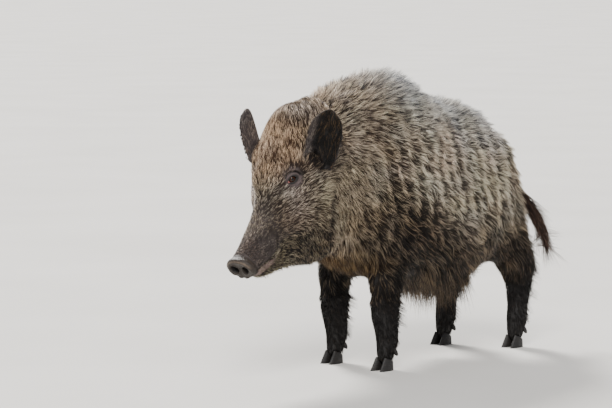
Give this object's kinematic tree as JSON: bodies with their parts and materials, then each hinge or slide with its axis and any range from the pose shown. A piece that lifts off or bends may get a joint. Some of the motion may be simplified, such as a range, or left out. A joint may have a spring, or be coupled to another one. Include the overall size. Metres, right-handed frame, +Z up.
{
  "type": "wild boar",
  "caption": "Life-size still model of an adult wild boar in its thick winter coat, standing at ease with its head held low.",
  "frame": {"origin": "on the floor, under the middle of the animal's length and width", "axes": "-X towards the snout, -Y towards the animal's left side, +Z up"},
  "size_m": [1.3788, 0.4364, 0.872],
  "materials": {
    "coat": "matt coarse winter coat of dark underfur and pale-tipped bristles",
    "dark_coat": "matt, short near-black hair",
    "snout_skin": "moist bare skin, half matt",
    "eye_gloss": "wet gloss",
    "hoof_horn": "worn dark horn"
  },
  "bodies": {
    "root": {"head": "coat", "lower_jaw": "coat", "neck": "coat", "chest": "coat", "barrel": "coat", "rump": "coat", "tail": "coat", "snout_disc": "snout_skin", "ear_left": "dark_coat", "ear_right": "dark_coat", "eye_left": "eye_gloss", "eye_right": "eye_gloss", "leg_fore_left": "coat", "foot_fore_left": "dark_coat", "hoof_fore_left_left": "hoof_horn", "dewclaw_fore_left_left": "hoof_horn", "hoof_fore_left_right": "hoof_horn", "dewclaw_fore_left_right": "hoof_horn", "leg_fore_right": "coat", "foot_fore_right": "dark_coat", "hoof_fore_right_left": "hoof_horn", "dewclaw_fore_right_left": "hoof_horn", "hoof_fore_right_right": "hoof_horn", "dewclaw_fore_right_right": "hoof_horn", "leg_hind_left": "coat", "foot_hind_left": "dark_coat", "hoof_hind_left_left": "hoof_horn", "dewclaw_hind_left_left": "hoof_horn", "hoof_hind_left_right": "hoof_horn", "dewclaw_hind_left_right": "hoof_horn", "leg_hind_right": "coat", "foot_hind_right": "dark_coat", "hoof_hind_right_left": "hoof_horn", "dewclaw_hind_right_left": "hoof_horn", "hoof_hind_right_right": "hoof_horn", "dewclaw_hind_right_right": "hoof_horn"}
  },
  "joints": []
}
